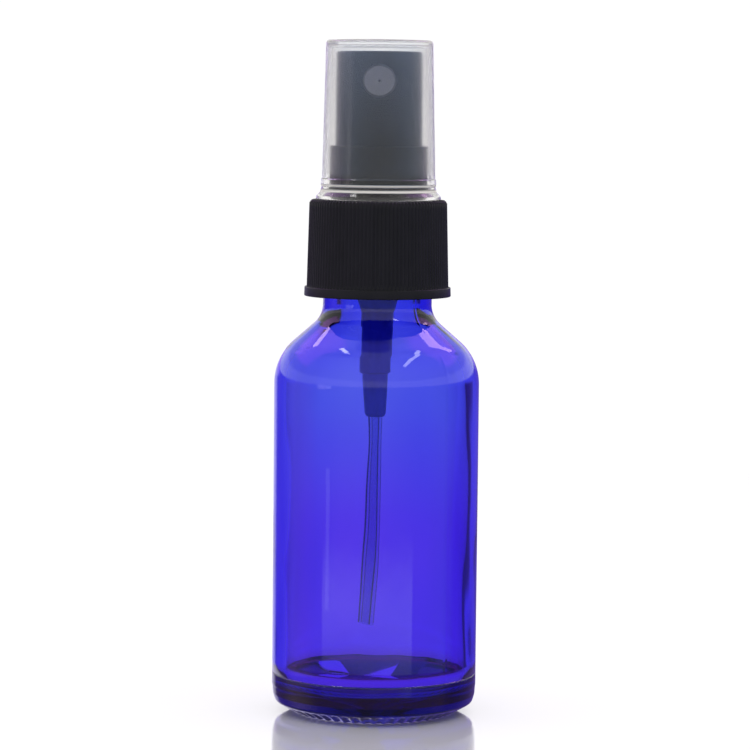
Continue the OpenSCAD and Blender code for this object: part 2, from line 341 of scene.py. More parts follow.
def hood_plastic():
    """Natural polypropylene: milky in the drafted wall, more so edge-on, with extra milk near the top as
    painted light from above.

    The foot is clear, apart from narrow warm bands of milk painted as highlights on its rounded steps.
    """
    m = Nodes("milky_polypropylene")
    m.set(Base_Color=(1.0, 0.99, 0.965, 1), IOR=1.40, Transmission_Weight=1.0)
    z = m.height()
    wall = m.span(z, 0, 1, (FOOT + 3.2) * MM, (FOOT + 4.2) * MM)
    # More milk from the middle of the hood up to its top: painted light, lighter where light from above
    # falls
    top_light = m.span(z, 0, 0.075, (FOOT + 8) * MM, HOOD_TOP * MM)
    haze = m.noise(0.5, (1, 1, 0.35), detail=4)
    rough = m.maths("MULTIPLY", wall, m.span(haze, 0.12, 0.18))
    m.link(m.maths("MAXIMUM", rough, 0.10), m.shader.inputs["Roughness"])
    edge = m.add("ShaderNodeLayerWeight", Blend=0.5)
    # Warm milk in narrow bands round the foot: painted highlights of its rounded steps
    highlight_bands = 0
    for up, half, strength in HOOD_HIGHLIGHT_BANDS:
        away = m.maths("ABSOLUTE", m.maths("SUBTRACT", z, (FOOT + up) * MM))
        highlight_bands = m.maths("MAXIMUM", highlight_bands, m.span(away, strength, 0, half * 0.4 * MM, half * MM))
    edge_and_highlight = m.maths("MAXIMUM", edge.outputs["Facing"], highlight_bands)
    shade = m.ramp(edge_and_highlight, (0.46, 0.64, 1.0), (1.0, 0.97, 0.92), (0.12, 0.5))
    milk = m.add("ShaderNodeBsdfTranslucent")
    lit = m.add("ShaderNodeBsdfDiffuse")
    m.link(shade, milk.inputs["Color"])
    m.link(shade, lit.inputs["Color"])
    body = m.add("ShaderNodeMixShader", Fac=0.5)
    m.link(milk.outputs["BSDF"], body.inputs[1])
    m.link(lit.outputs["BSDF"], body.inputs[2])
    edge_on = m.maths("MULTIPLY", edge.outputs["Facing"], 0.22)
    depth = m.maths("ADD", m.maths("ADD", edge_on, top_light), m.span(haze, 0.008, 0.025))
    depth = m.maths("MAXIMUM", m.maths("MULTIPLY", wall, depth), highlight_bands)
    mix = m.add("ShaderNodeMixShader")
    m.link(depth, mix.inputs["Fac"])
    m.link(m.shader.outputs["BSDF"], mix.inputs[1])
    m.link(body.outputs["Shader"], mix.inputs[2])
    m.link(mix.outputs["Shader"], m.output.inputs["Surface"])
    return m.material


def black_plastic(name, rough_low, rough_high, tint=(0.004, 0.004, 0.006)):
    """Black polypropylene with a fine moulded grain and slightly uneven gloss."""
    m = Nodes(name)
    m.set(IOR=1.46, Specular_IOR_Level=0.22)
    grain = m.noise(9.0, detail=4, roughness=0.6)
    broad = m.noise(0.4, (1, 1, 0.5), detail=2)
    lighter = tuple(c * 1.7 for c in tint)
    m.link(m.ramp(broad, tint, lighter, (0.3, 0.8)), m.shader.inputs["Base Color"])
    m.link(m.span(broad, rough_low, rough_high, 0.3, 0.7), m.shader.inputs["Roughness"])
    m.bump(grain, 0.12, 0.02)
    return m.material


def natural_plastic(name, tint=(0.74, 0.76, 0.80), shine=0.32):
    """Uncoloured polypropylene: a waxy white that lets a little light in."""
    m = Nodes(name)
    m.set(IOR=1.49, Subsurface_Weight=0.35, Subsurface_Scale=0.0012)
    m.shader.inputs["Subsurface Radius"].default_value = (1.0, 1.0, 1.1)
    cloud = m.noise(0.9, detail=3)
    darker = tuple(c * 0.93 for c in tint)
    m.link(m.ramp(cloud, darker, tint, (0.3, 0.7)), m.shader.inputs["Base Color"])
    m.link(m.span(cloud, shine, shine + 0.1, 0.3, 0.7), m.shader.inputs["Roughness"])
    m.bump(m.noise(6.0, detail=3), 0.08, 0.02)
    return m.material


def pump_plastic():
    """Grey natural polypropylene of the pump's body."""
    m = Nodes("pump_polypropylene")
    m.set(IOR=1.49)
    cloud = m.noise(0.7, (1, 1, 0.4), detail=3)
    colour = m.ramp(cloud, (0.09, 0.10, 0.48), (0.12, 0.13, 0.60), (0.3, 0.7))
    m.link(colour, m.shader.inputs["Base Color"])
    m.link(m.span(cloud, 0.3, 0.42), m.shader.inputs["Roughness"])
    m.bump(m.noise(5.0, detail=3), 0.08, 0.02)
    return m.material


def tube_plastic():
    """Extruded polyethylene tube, clear with faint lines along its length."""
    m = Nodes("tube_polyethylene")
    m.set(Base_Color=(0.68, 0.70, 0.86, 1), IOR=1.40, Transmission_Weight=1.0)
    lines = m.noise(1.4, (1, 1, 0.05), detail=3)
    m.link(m.span(lines, 0.02, 0.08), m.shader.inputs["Roughness"])
    m.bump(lines, 0.1, 0.03)
    return m.material


def steel(name):
    """Stainless steel with faint streaks."""
    m = Nodes(name)
    m.set(Metallic=1.0)
    streaks = m.noise(5.0, detail=4)
    colour = m.ramp(streaks, (0.55, 0.56, 0.58), (0.70, 0.71, 0.72), (0.3, 0.7))
    m.link(colour, m.shader.inputs["Base Color"])
    m.link(m.span(streaks, 0.14, 0.28), m.shader.inputs["Roughness"])
    return m.material


def foam():
    """White closed-cell foam."""
    m = Nodes("gasket_foam")
    m.set(Roughness=0.75)
    cells = m.add("ShaderNodeTexVoronoi", Scale=5.0)
    m.link(m.coords(), cells.inputs["Vector"])
    colour = m.ramp(cells.outputs["Distance"], (0.86, 0.86, 0.85), (0.72, 0.72, 0.72))
    m.link(colour, m.shader.inputs["Base Color"])
    m.bump(cells.outputs["Distance"], 0.4, 0.06)
    return m.material


def dress(piece, material, slot, body, *nodes):
    """Gives a piece its material and body, and hides the CAD nodes it stands for; slot is not used."""
    piece.data.materials.clear()
    piece.data.materials.append(material)
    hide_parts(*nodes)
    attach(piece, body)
    return piece


# ---------------------------------------------------------------- bottle

SHOULDER_R = 9.0
SHOULDER_Z = LIP - 25.6
FILLET_R = 4.2
FILLET_Z = LIP - 12.8
HEEL_Z = 4.5
BEARING_OUT = BODY_R - 3.6
BORE_R = 6.0
THROAT_R = 5.0
LIP_OUTER = 0.7
LIP_INNER = 0.5
CORNER_R = 2.2
FLOOR_Z = 4.2
DOME = 0.5
THREAD_Z = LIP - 7.8
THREAD_HEIGHT = 1.1
SEAM_ANGLES = (math.radians(-47), math.radians(133))
RIDGES = 52


def bottle_outline():
    """Outside from the middle of the base to the lip, then the inside back down to the floor."""
    cx = BODY_R - SHOULDER_R
    dx, dz = NECK_R + FILLET_R - cx, FILLET_Z - SHOULDER_Z
    lean = math.degrees(math.atan2(dz, dx) - math.acos((SHOULDER_R + FILLET_R) / math.hypot(dx, dz)))
    base = [Vector((BODY_R * 0.7 * t, 1.2 * (1 - t**3))) for t in (0, 0.2, 0.4, 0.6, 0.8, 0.95)]
    ring = rounded([
        (11.0, 0.45, 0), (BEARING_OUT - 1.2, 0, 0.5), (BEARING_OUT, 0, 0.3), (16.0, 1.75, 0.9),
        (16.36, 3.0, 1.0), (BODY_R - 0.05, HEEL_Z - 0.25, 0.1), (BODY_R, HEEL_Z, 0.1),
        (BODY_R, HEEL_Z + 2, 0)], 5)[1:]
    outside = spread(base + ring, 0.35)[:-1]
    wall_low = HEEL_Z + 2
    wall = [Vector((BODY_R, wall_low + (SHOULDER_Z - wall_low) * k / 24)) for k in range(24)]
    shoulder = arc(cx, SHOULDER_Z, SHOULDER_R, 0, lean, 24)
    fillet = arc(NECK_R + FILLET_R, FILLET_Z, FILLET_R, 180 + lean, 180, 16)
    lip_low = LIP - LIP_OUTER
    neck = [Vector((NECK_R, FILLET_Z + (lip_low - FILLET_Z) * k / 80)) for k in range(1, 80)]
    lip = arc(NECK_R - LIP_OUTER, lip_low, LIP_OUTER, 0, 90, 6)
    lip += arc(BORE_R + LIP_INNER, LIP - LIP_INNER, LIP_INNER, 90, 180, 5)
    inner = SHOULDER_R - WALL
    throat_x = BORE_R + THROAT_R
    slope = math.radians(lean)
    rise = (inner + THROAT_R - (throat_x - cx) * math.cos(slope)) / math.sin(slope)
    throat = arc(throat_x, SHOULDER_Z + rise, THROAT_R, 180, 180 + lean, 16)
    roof = arc(cx, SHOULDER_Z, inner, lean, 0, 24)
    bore_top = LIP - LIP_INNER
    bore = [Vector((BORE_R, bore_top + (throat[0].y - bore_top) * k / 12)) for k in range(1, 12)]
    inside_r = BODY_R - WALL
    corner_z = FLOOR_Z + CORNER_R
    side = [Vector((inside_r, SHOULDER_Z + (corner_z - SHOULDER_Z) * k / 40)) for k in range(1, 40)]
    corner = arc(inside_r - CORNER_R, corner_z, CORNER_R, 0, -90, 10)
    floor_r = corner[-1].x
    inwards = [k / 32 for k in range(31, -1, -1)]
    floor = [Vector((floor_r * t, FLOOR_Z + DOME * (1 - t * t))) for t in inwards]
    return outside + wall + shoulder + fillet + neck + lip + bore + throat + roof + side + corner + floor


def bottle_relief(angle, r, z):
    """Moulded detail: base ridges, mould seams, screw thread, and the uneven inside of blown glass."""
    c, s = math.cos(angle), math.sin(angle)
    on_neck = r > NECK_R - 0.8 and z > FILLET_Z - 3
    if r < BODY_R - WALL + 0.05 and z > 3.0 and not on_neck:
        wave = noise.noise(Vector((c * 1.6, s * 1.6, z * 0.045 + 7)))
        fine = noise.noise(Vector((c * 4.0, s * 4.0, z * 0.10 + 31)))
        depth = smooth_step(3.0, 12, z) * (1 - smooth_step(LIP - 16, LIP - 10, z))
        uneven = noise.noise(Vector((c * r * 0.13, s * r * 0.13, 7))) * smooth_step(0, 4, r)
        return r + (0.22 * wave + 0.06 * fine) * depth, z + 0.25 * uneven * (1 - depth) * (z < 8)
    if z < 2.2 and r > BEARING_OUT - 0.6:
        ridge = 0.5 - 0.5 * math.cos(RIDGES * angle)
        edge = smooth_step(BEARING_OUT - 0.5, BEARING_OUT + 0.3, r)
        edge *= 1 - smooth_step(BEARING_OUT + 1.6, 15.6, r)
        return r + 0.10 * ridge * edge, z + 0.34 * ridge * edge
    lift = 0
    for seam in SEAM_ANGLES:
        away = abs((angle - seam + math.pi) % TURN - math.pi) * r
        lift = max(lift, 0.05 * (1 - smooth_step(0.05, 0.22, away)))
    if z > FILLET_Z and r > NECK_R - 0.8:
        lift += THREAD_HEIGHT * thread_height(angle, z, THREAD_Z, 1.5, 1.1, 0.4)
        return r + lift * smooth_step(NECK_R - 0.75, NECK_R - 0.1, r), z
    ripple = noise.noise(Vector((c * 1.1, s * 1.1, z * 0.035 + 3))) * 0.03
    return min(r + ripple, BODY_R + 0.03) + lift, z


def make_bottle():
    piece = lathe("bottle_glass", bottle_outline(), RIDGES * 8, bottle_relief)
    return dress(piece, blue_glass(), "blue_glass", "bottle_body", "bottle")


# ---------------------------------------------------------------- closure

RIBS = 110
RIB_DEPTH = 0.17
PARTING_ANGLE = -math.pi / 2 - 0.035
SKIRT_LOW_R = 11.4
SKIRT_TOP_R = 11.06
CAP_TOP = LIP + 3.95
CAP_ROOF = LIP + 2.25
FLANGE_TOP = CAP_LOW + 1.5
COLLAR_R = 7.85
CAP_HOLE_R = 5.75
CAP_BORE_R = 10.1


def closure_outline():
    """Flange and ribbed skirt outside, the collar that holds the overcap, then the inside downwards."""
    outside = rounded([
        (10.4, CAP_LOW, 0.1), (FLANGE_R, CAP_LOW, 0.18), (FLANGE_R - 0.06, FLANGE_TOP, 0.2),
        (SKIRT_LOW_R, FLANGE_TOP, 0.1)], 4)
    low = Vector((SKIRT_LOW_R, FLANGE_TOP + 0.1))
    high = Vector((SKIRT_TOP_R, CAP_TOP - 0.5))
    skirt = [low.lerp(high, t) for t in (0.01, 0.05, 0.2, 0.4, 0.6, 0.8, 0.95, 1)]
    top = rounded([
        (SKIRT_TOP_R - 0.1, CAP_TOP - 0.3, 0.1), (SKIRT_TOP_R - 0.45, CAP_TOP, 0.12),
        (COLLAR_R, CAP_TOP, 0.15), (COLLAR_R, CAP_TOP + 1.4, 0.1), (COLLAR_R + 0.25, CAP_TOP + 1.7, 0.1),
        (COLLAR_R, CAP_TOP + 2.1, 0.1), (COLLAR_R, COLLAR_TOP, 0.32), (COLLAR_R - 0.7, COLLAR_TOP, 0.2),
        (COLLAR_R - 0.7, CAP_TOP, 0.1), (CAP_HOLE_R, CAP_TOP, 0.1), (CAP_HOLE_R, CAP_ROOF, 0.1),
        (CAP_BORE_R, CAP_ROOF, 0.2)], 3)
    high = Vector((CAP_BORE_R, CAP_ROOF - 0.3))
    low = Vector((CAP_BORE_R, CAP_LOW + 0.4))
    inner = [high.lerp(low, k / 64) for k in range(65)]
    return outside + skirt + top + inner


def closure_relief(angle, r, z):
    """Grip ribs outside, a parting line at the front, and the screw thread inside."""
    if r > SKIRT_TOP_R - 0.5 and z > FLANGE_TOP + 0.02:
        wave = 0.5 + 0.5 * math.cos(RIBS * angle)
        valley = RIB_DEPTH * (1 - wave**0.8)
        z -= 0.12 * (1 - wave) * smooth_step(CAP_TOP - 0.6, CAP_TOP, z)
        away = abs((angle - PARTING_ANGLE + math.pi) % TURN - math.pi) * r
        line = 0.05 * (1 - smooth_step(0.06, 0.2, away))
        return r - valley + line, z
    if abs(r - CAP_BORE_R) < 0.01 and z < CAP_ROOF:
        start = THREAD_Z - PITCH / 2 + 0.1
        return r - 1.05 * thread_height(angle, z, start, 1.25, 1.0, 0.45), z
    return r, z


def make_closure():
    piece = lathe("closure_cap", closure_outline(), RIBS * 8, closure_relief, sharp=75)
    material = black_plastic("closure_black", 0.36, 0.46)
    return dress(piece, material, "black_moulding", "closure_body", "closure")


# ---------------------------------------------------------------- overcap


def make_overcap():
    """A drafted hood with a stepped foot and a rim that rests round the collar."""
    top_r, wall_r, thick = 8.56, 9.1, 0.85
    outline = rounded([
        (FOOT_R - 0.95, FOOT, 0.1), (FOOT_R, FOOT, 0.15), (FOOT_R - 0.08, FOOT + 0.55, 0.25),
        (wall_r + 0.25, FOOT + 1.2, 0.5), (wall_r + 0.02, FOOT + 2.1, 0.3),
        (wall_r + 0.14, FOOT + 2.25, 0.06), (wall_r + 0.13, FOOT + 3.2, 0.06),
        (wall_r - 0.02, FOOT + 3.35, 0.05), (top_r, HOOD_TOP - 0.2, 0.6), (0, HOOD_TOP, 0),
        (0, HOOD_TOP - 0.95, 0), (top_r - thick, HOOD_TOP - 1.1, 0.5),
        (wall_r - thick, FOOT + 2.3, 0.3), (wall_r - thick + 0.1, FOOT + 1.3, 0.3)], 6)
    piece = lathe("overcap_hood", spread(outline, 1.6), 160)
    return dress(piece, hood_plastic(), "clear_hood", "overcap_body", "overcap")


# ---------------------------------------------------------------- actuator and nozzle

NOZZLE_R = 2.6
NOZZLE_FACE = 6.4


def post(radius, low, high, sides=72):
    """A round cutter or boss along the z axis."""
    outline = [Vector((0, low)), Vector((radius, low)), Vector((radius, high)), Vector((0, high))]
    return lathe("tool", outline, sides)


def face_front(piece, z):
    """Turns a piece made along z so that it points along -Y, at height z."""
    piece.data.transform(Matrix.Translation((0, 0, z * MM)) @ Matrix.Rotation(math.pi / 2, 4, "X"))


def drum(radius, start, end, z, sides=96):
    """A round cutter or boss along -Y, from start to end, at height z."""
    piece = post(radius, start, end, sides)
    face_front(piece, z)
    return piece


def make_actuator():
    """The button: hollow, with a dished top, a socket for the stem and a recess round the spray post."""
    top_r, in_r = BUTTON_R - 0.15, BUTTON_R - 0.9
    roof = BUTTON_TOP - 1.35
    outline = rounded([
        (in_r, BUTTON_LOW, 0.12), (BUTTON_R, BUTTON_LOW, 0.12), (top_r, BUTTON_TOP, 0.4),
        (top_r * 0.5, BUTTON_TOP - 0.28, 3.0), (0, BUTTON_TOP - 0.36, 0), (0, roof, 0),
        (in_r - 0.15, roof, 0.4)], 6)
    piece = lathe("actuator_button", spread(outline, 2.5), 160)
    cut(piece, post(2.8, STEM_TOP - 4, roof + 0.3), "UNION")
    cut(piece, drum(NOZZLE_R + 0.6, 0.0, NOZZLE_FACE - 0.35, z=NOZZLE), "UNION")
    cut(piece, post(1.8, STEM_TOP - 5, STEM_TOP + 0.05))
    cut(piece, post(0.8, STEM_TOP - 1, NOZZLE - 1.3))
    cut(piece, drum(0.45, 0.0, 3.8, z=NOZZLE - 2.05, sides=32))
    recess = drum(NOZZLE_R, 3.6, 9.0, z=NOZZLE)
    cut(recess, drum(1.6, 3.0, NOZZLE_FACE - 0.7, z=NOZZLE))
    cut(piece, recess)
    gate = drum(0.28, NOZZLE_FACE - 0.2, NOZZLE_FACE + 0.42, z=NOZZLE - 3.15, sides=24)
    cut(piece, gate, "UNION")
    piece.data.shade_smooth()
    piece.data.set_sharp_from_angle(angle=math.radians(32))
    material = black_plastic("actuator_black", 0.28, 0.38)
    return dress(piece, material, "black_moulding", "button", "actuator")


def make_nozzle():
    """The insert with the spray orifice, pressed over the post in the button's recess."""
    face, back = NOZZLE_FACE, 3.95
    outline = rounded([
        (0.15, face - 0.2, 0.03), (0.30, face - 0.01, 0.05), (0.75, face, 0.15),
        (NOZZLE_R - 0.3, face, 0.08), (NOZZLE_R - 0.02, face - 0.22, 0.08),
        (NOZZLE_R - 0.02, back, 0.08), (1.63, back, 0.05), (1.63, face - 0.65, 0.05),
        (0.15, face - 0.6, 0.03)], 4)
    piece = lathe("nozzle_disc", outline, 96)
    face_front(piece, NOZZLE)
    material = natural_plastic("nozzle_natural", (0.21, 0.215, 0.235), 0.42)
    return dress(piece, material, "natural_moulding", "button", "nozzle_insert")


# ---------------------------------------------------------------- pump

CYLINDER_R = 3.6
SOCKET_R = 1.295
STEM_BORE_R = 0.85
STEM_R = 1.75


def make_housing():
    """The pump's body: flange and cylinder above, spring chamber, ball cage and tube socket below."""
    low = HOUSING_LOW
    ledge, seat = LIP - 21.8, LIP - 23.55
    outline = rounded([
        (SOCKET_R, low, 0.05), (1.55, low, 0.1), (1.77, low + 0.45, 0.25), (1.95, LIP - 24, 0.1),
        (2.4, LIP - 23.7, 0.12), (2.57, LIP - 13.95, 0.3), (3.23, LIP - 12.24, 0.4),
        (4.4, LIP - 9.2, 0.6), (4.65, LIP - 7, 0.5), (4.65, LIP + 1, 0.1), (8.3, LIP + 1, 0.15),
        (8.3, LIP + 2.2, 0.15), (5.6, LIP + 2.2, 0.1), (5.6, HOUSING_TOP, 0.2),
        (CYLINDER_R, HOUSING_TOP, 0.15), (CYLINDER_R, LIP - 8.9, 0.5), (1.9, LIP - 13.8, 0.5),
        (1.9, ledge, 0.05), (0.9, ledge, 0.05), (0.9, ledge - 0.15, 0.05), (1.15, ledge - 0.4, 0.1),
        (1.15, seat, 0.05), (0.6, LIP - 24.1, 0.05), (0.6, LIP - 24.8, 0.05),
        (SOCKET_R, LIP - 24.8, 0.05)], 4)
    piece = lathe("pump_cylinder", outline, 96)
    return dress(piece, pump_plastic(), "pump_moulding", "pump_body", "pump_housing")


def make_lock_ring(material):
    """The ring pressed on the pump's body, with a sleeve inside it and a guide hole for the stem."""
    rim, seat = CAP_TOP + 0.05, HOUSING_TOP + 0.05
    outline = rounded([
        (CYLINDER_R - 0.05, RING_LOW, 0.08), (CYLINDER_R - 0.05, seat, 0.05), (5.62, seat, 0.05),
        (5.62, rim, 0.05), (6.6, rim, 0.1), (6.6, RING_TOP, 0.35), (1.82, RING_TOP, 0.15),
        (1.82, seat, 0.1), (2.5, seat, 0.05), (2.5, RING_LOW, 0.08)], 4)
    piece = lathe("lock_ring_cap", outline, 96)
    return dress(piece, material, "natural_moulding", "pump_body", "lock_ring")


def make_gasket():
    low, high = LIP + 0.02, LIP + 0.98
    outline = rounded([(4.9, low, 0.12), (8.5, low, 0.12), (8.5, high, 0.12), (4.9, high, 0.12)])
    piece = lathe("gasket_ring", outline, 96)
    return dress(piece, foam(), "gasket_foam", "pump_body", "gasket")


def make_stem(material):
    """A hollow stem with a shoulder that pushes the piston down."""
    shoulder = PISTON_TOP + 0.42
    outline = rounded([
        (STEM_BORE_R, STEM_LOW, 0.05), (STEM_R, STEM_LOW, 0.08), (STEM_R, shoulder, 0.05),
        (2.3, shoulder, 0.1), (2.3, shoulder + 0.8, 0.15), (STEM_R, shoulder + 1, 0.1),
        (STEM_R, STEM_TOP, 0.3), (STEM_BORE_R, STEM_TOP, 0.1)], 4)
    piece = lathe("stem_tube", outline, 72)
    return dress(piece, material, "natural_moulding", "plunger", "stem")


def make_valve_pin(material):
    """The pin in the stem's foot; its head closes the piston, and two flats let the liquid past."""
    head_top, neck_top, tip = PIN_HEAD + 1.3, STEM_LOW - 0.02, STEM_LOW + 3
    outline = rounded([
        (0, PIN_LOW, 0), (1.2, PIN_LOW, 0.4), (1.2, PIN_HEAD, 0.05), (2.2, PIN_HEAD, 0.1),
        (2.2, head_top - 0.3, 0.1), (1.9, head_top, 0.05), (1.2, head_top, 0.1),
        (1.2, neck_top, 0.05), (0.82, neck_top, 0.03), (0.82, tip, 0.15), (0, tip, 0)], 4)
    piece = lathe("valve_pin_core", outline, 64)
    for side in (-1, 1):
        bm = bmesh.new()
        bmesh.ops.create_cube(bm, size=1)
        bmesh.ops.scale(bm, vec=(1, 2, 4), verts=bm.verts)
        bmesh.ops.translate(bm, vec=(side, 0, STEM_LOW + 2.01), verts=bm.verts)
        cut(piece, new_object("tool", bm, smooth=False))
    piece.data.shade_smooth()
    piece.data.set_sharp_from_angle(angle=math.radians(35))
    return dress(piece, material, "natural_moulding", "plunger", "valve_pin")


def make_piston(material):
    """A sleeve on the stem, with a lip seal that runs in the cylinder."""
    low, top, seal_r = PISTON_LOW, PISTON_TOP, CYLINDER_R - 0.05
    outline = rounded([
        (1.8, low, 0.05), (2.15, low, 0.08), (2.5, low + 0.4, 0.1), (2.5, low + 1.4, 0.15),
        (3.1, low + 1.4, 0.1), (3.2, low + 0.2, 0.05), (seal_r, low + 0.1, 0.05), (seal_r, top, 0.08),
        (3.05, top, 0.05), (3.05, low + 2.4, 0.1), (2.4, low + 2.4, 0.1), (2.4, top, 0.05),
        (1.8, top, 0.05)], 4)
    piece = lathe("piston_seal", outline, 96)
    return dress(piece, material, "natural_moulding", "piston_body", "piston")


def make_spring():
    """Twelve open turns of wire and a closed one at each end; the real one shortens with the actuator,
    this mesh keeps one length.
    """
    radius, wire, turns, per_turn = 1.55, 0.2, 14, 32
    low, high = SPRING_LOW + wire, PIN_HEAD - wire - 0.02
    closed = wire * 2.1
    path = []
    for k in range(turns * per_turn + 1):
        t = k / per_turn
        middle = min(max(t - 1, 0), turns - 2) / (turns - 2)
        ends = min(t, 1) + max(t - turns + 1, 0)
        z = low + closed * ends + (high - low - 2 * closed) * middle
        a = TURN * t
        path.append(Vector((radius * math.cos(a), radius * math.sin(a), z)))
    piece = swept("return_spring_coil", path, wire, 10)
    dress(piece, steel("spring_steel"), "spring_steel", "pump_body", "return_spring")
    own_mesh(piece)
    return piece


def make_ball():
    bm = bmesh.new()
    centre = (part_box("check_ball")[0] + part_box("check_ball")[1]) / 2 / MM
    bmesh.ops.create_icosphere(bm, subdivisions=5, radius=1.0)
    bmesh.ops.translate(bm, vec=centre, verts=bm.verts)
    piece = new_object("inlet_ball", bm)
    return dress(piece, steel("ball_steel"), "spring_steel", "ball_body", "check_ball")


def make_tube():
    """Straight in its socket, then slightly curved, with an end cut a little off square."""
    outer, inner, set_off, slant = 1.275, 0.6, 1.26, 0.2
    rows, sides = 60, 40
    drop = HOUSING_LOW - TUBE_LOW
    bend = (drop**2 + set_off**2) / (2 * set_off)
    bm = bmesh.new()
    walls = []
    for radius in (outer, inner):
        rings = []
        for i in range(rows + 1):
            ring = []
            for k in range(sides):
                a = TURN * k / sides
                end = TUBE_LOW + (outer - radius * math.cos(a)) * slant
                z = TUBE_TOP + (end - TUBE_TOP) * i / rows
                along = max(0.0, HOUSING_LOW - z)
                lean = bend - math.sqrt(bend**2 - along**2)
                ring.append(bm.verts.new((radius * math.cos(a) - lean, radius * math.sin(a), z)))
            rings.append(ring)
        walls.append(rings)
        for low, high in zip(rings, rings[1:]):
            for k in range(sides):
                bm.faces.new((low[k], low[(k + 1) % sides], high[(k + 1) % sides], high[k]))
    for end in (0, -1):
        around, within = walls[0][end], walls[1][end]
        for k in range(sides):
            n = (k + 1) % sides
            bm.faces.new((around[k], around[n], within[n], within[k]))
    piece = new_object("dip_tube_clear", bm, sharp=40)
    return dress(piece, tube_plastic(), "tube_plastic", "pump_body", "dip_tube")


# ---------------------------------------------------------------- stage, light and camera

# Distances from the bottle's axis in metres
MIRROR_FADE = (0.10, 0.24)
FLOOR_FADE = (0.16, 0.38)

# Colours of the studio
WHITE = (1.02, 1.02, 1.02, 1)
NEUTRAL = (1.05, 1.05, 1.05, 1)
DEEP_VIOLET = (0.16, 0.10, 0.42, 1)

SHOULDER_AIM = (0, 0, 0.06)


def make_floor():
    """A pale board that mirrors the base of the bottle and fades out far from it.

    It is hidden from rays that pass through glass or bounce in it, which see the studio alone.
    """
    m = Nodes("pale_board")
    m.set(Base_Color=(0.88, 0.86, 0.95, 1), IOR=1.5)
    grain = m.span(m.noise(0.02, detail=2), 0.06, 0.09)
    m.link(grain, m.shader.inputs["Roughness"])
    gloss = m.add("ShaderNodeBsdfGlossy", Color=(1.0, 0.98, 1.0, 1))
    m.link(grain, gloss.inputs["Roughness"])
    edge = m.add("ShaderNodeLayerWeight", Blend=0.5)
    mix = m.add("ShaderNodeMixShader")
    place = m.add("ShaderNodeTexCoord")
    reach = m.add("ShaderNodeVectorMath")
    reach.operation = "LENGTH"
    m.link(place.outputs["Object"], reach.inputs[0])
    away = reach.outputs["Value"]
    grazing = m.span(edge.outputs["Facing"], 0.0, 0.65, 0.65, 0.9)
    m.link(m.maths("MULTIPLY", grazing, m.span(away, 1, 0, *MIRROR_FADE)), mix.inputs["Fac"])
    m.link(m.shader.outputs["BSDF"], mix.inputs[1])
    m.link(gloss.outputs["BSDF"], mix.inputs[2])
    clear = m.add("ShaderNodeBsdfTransparent")
    fade = m.add("ShaderNodeMixShader")
    m.link(m.span(away, 0, 1, *FLOOR_FADE), fade.inputs["Fac"])
    m.link(mix.outputs["Shader"], fade.inputs[1])
    m.link(clear.outputs["BSDF"], fade.inputs[2])
    m.link(fade.outputs["Shader"], m.output.inputs["Surface"])
    bm = bmesh.new()
    bmesh.ops.create_circle(bm, cap_ends=True, segments=128, radius=420)
    floor = new_object("floor", bm, smooth=False)
    floor.location.z = -0.00005
    floor.visible_glossy = False
    floor.visible_transmission = False
    floor.data.materials.append(m.material)


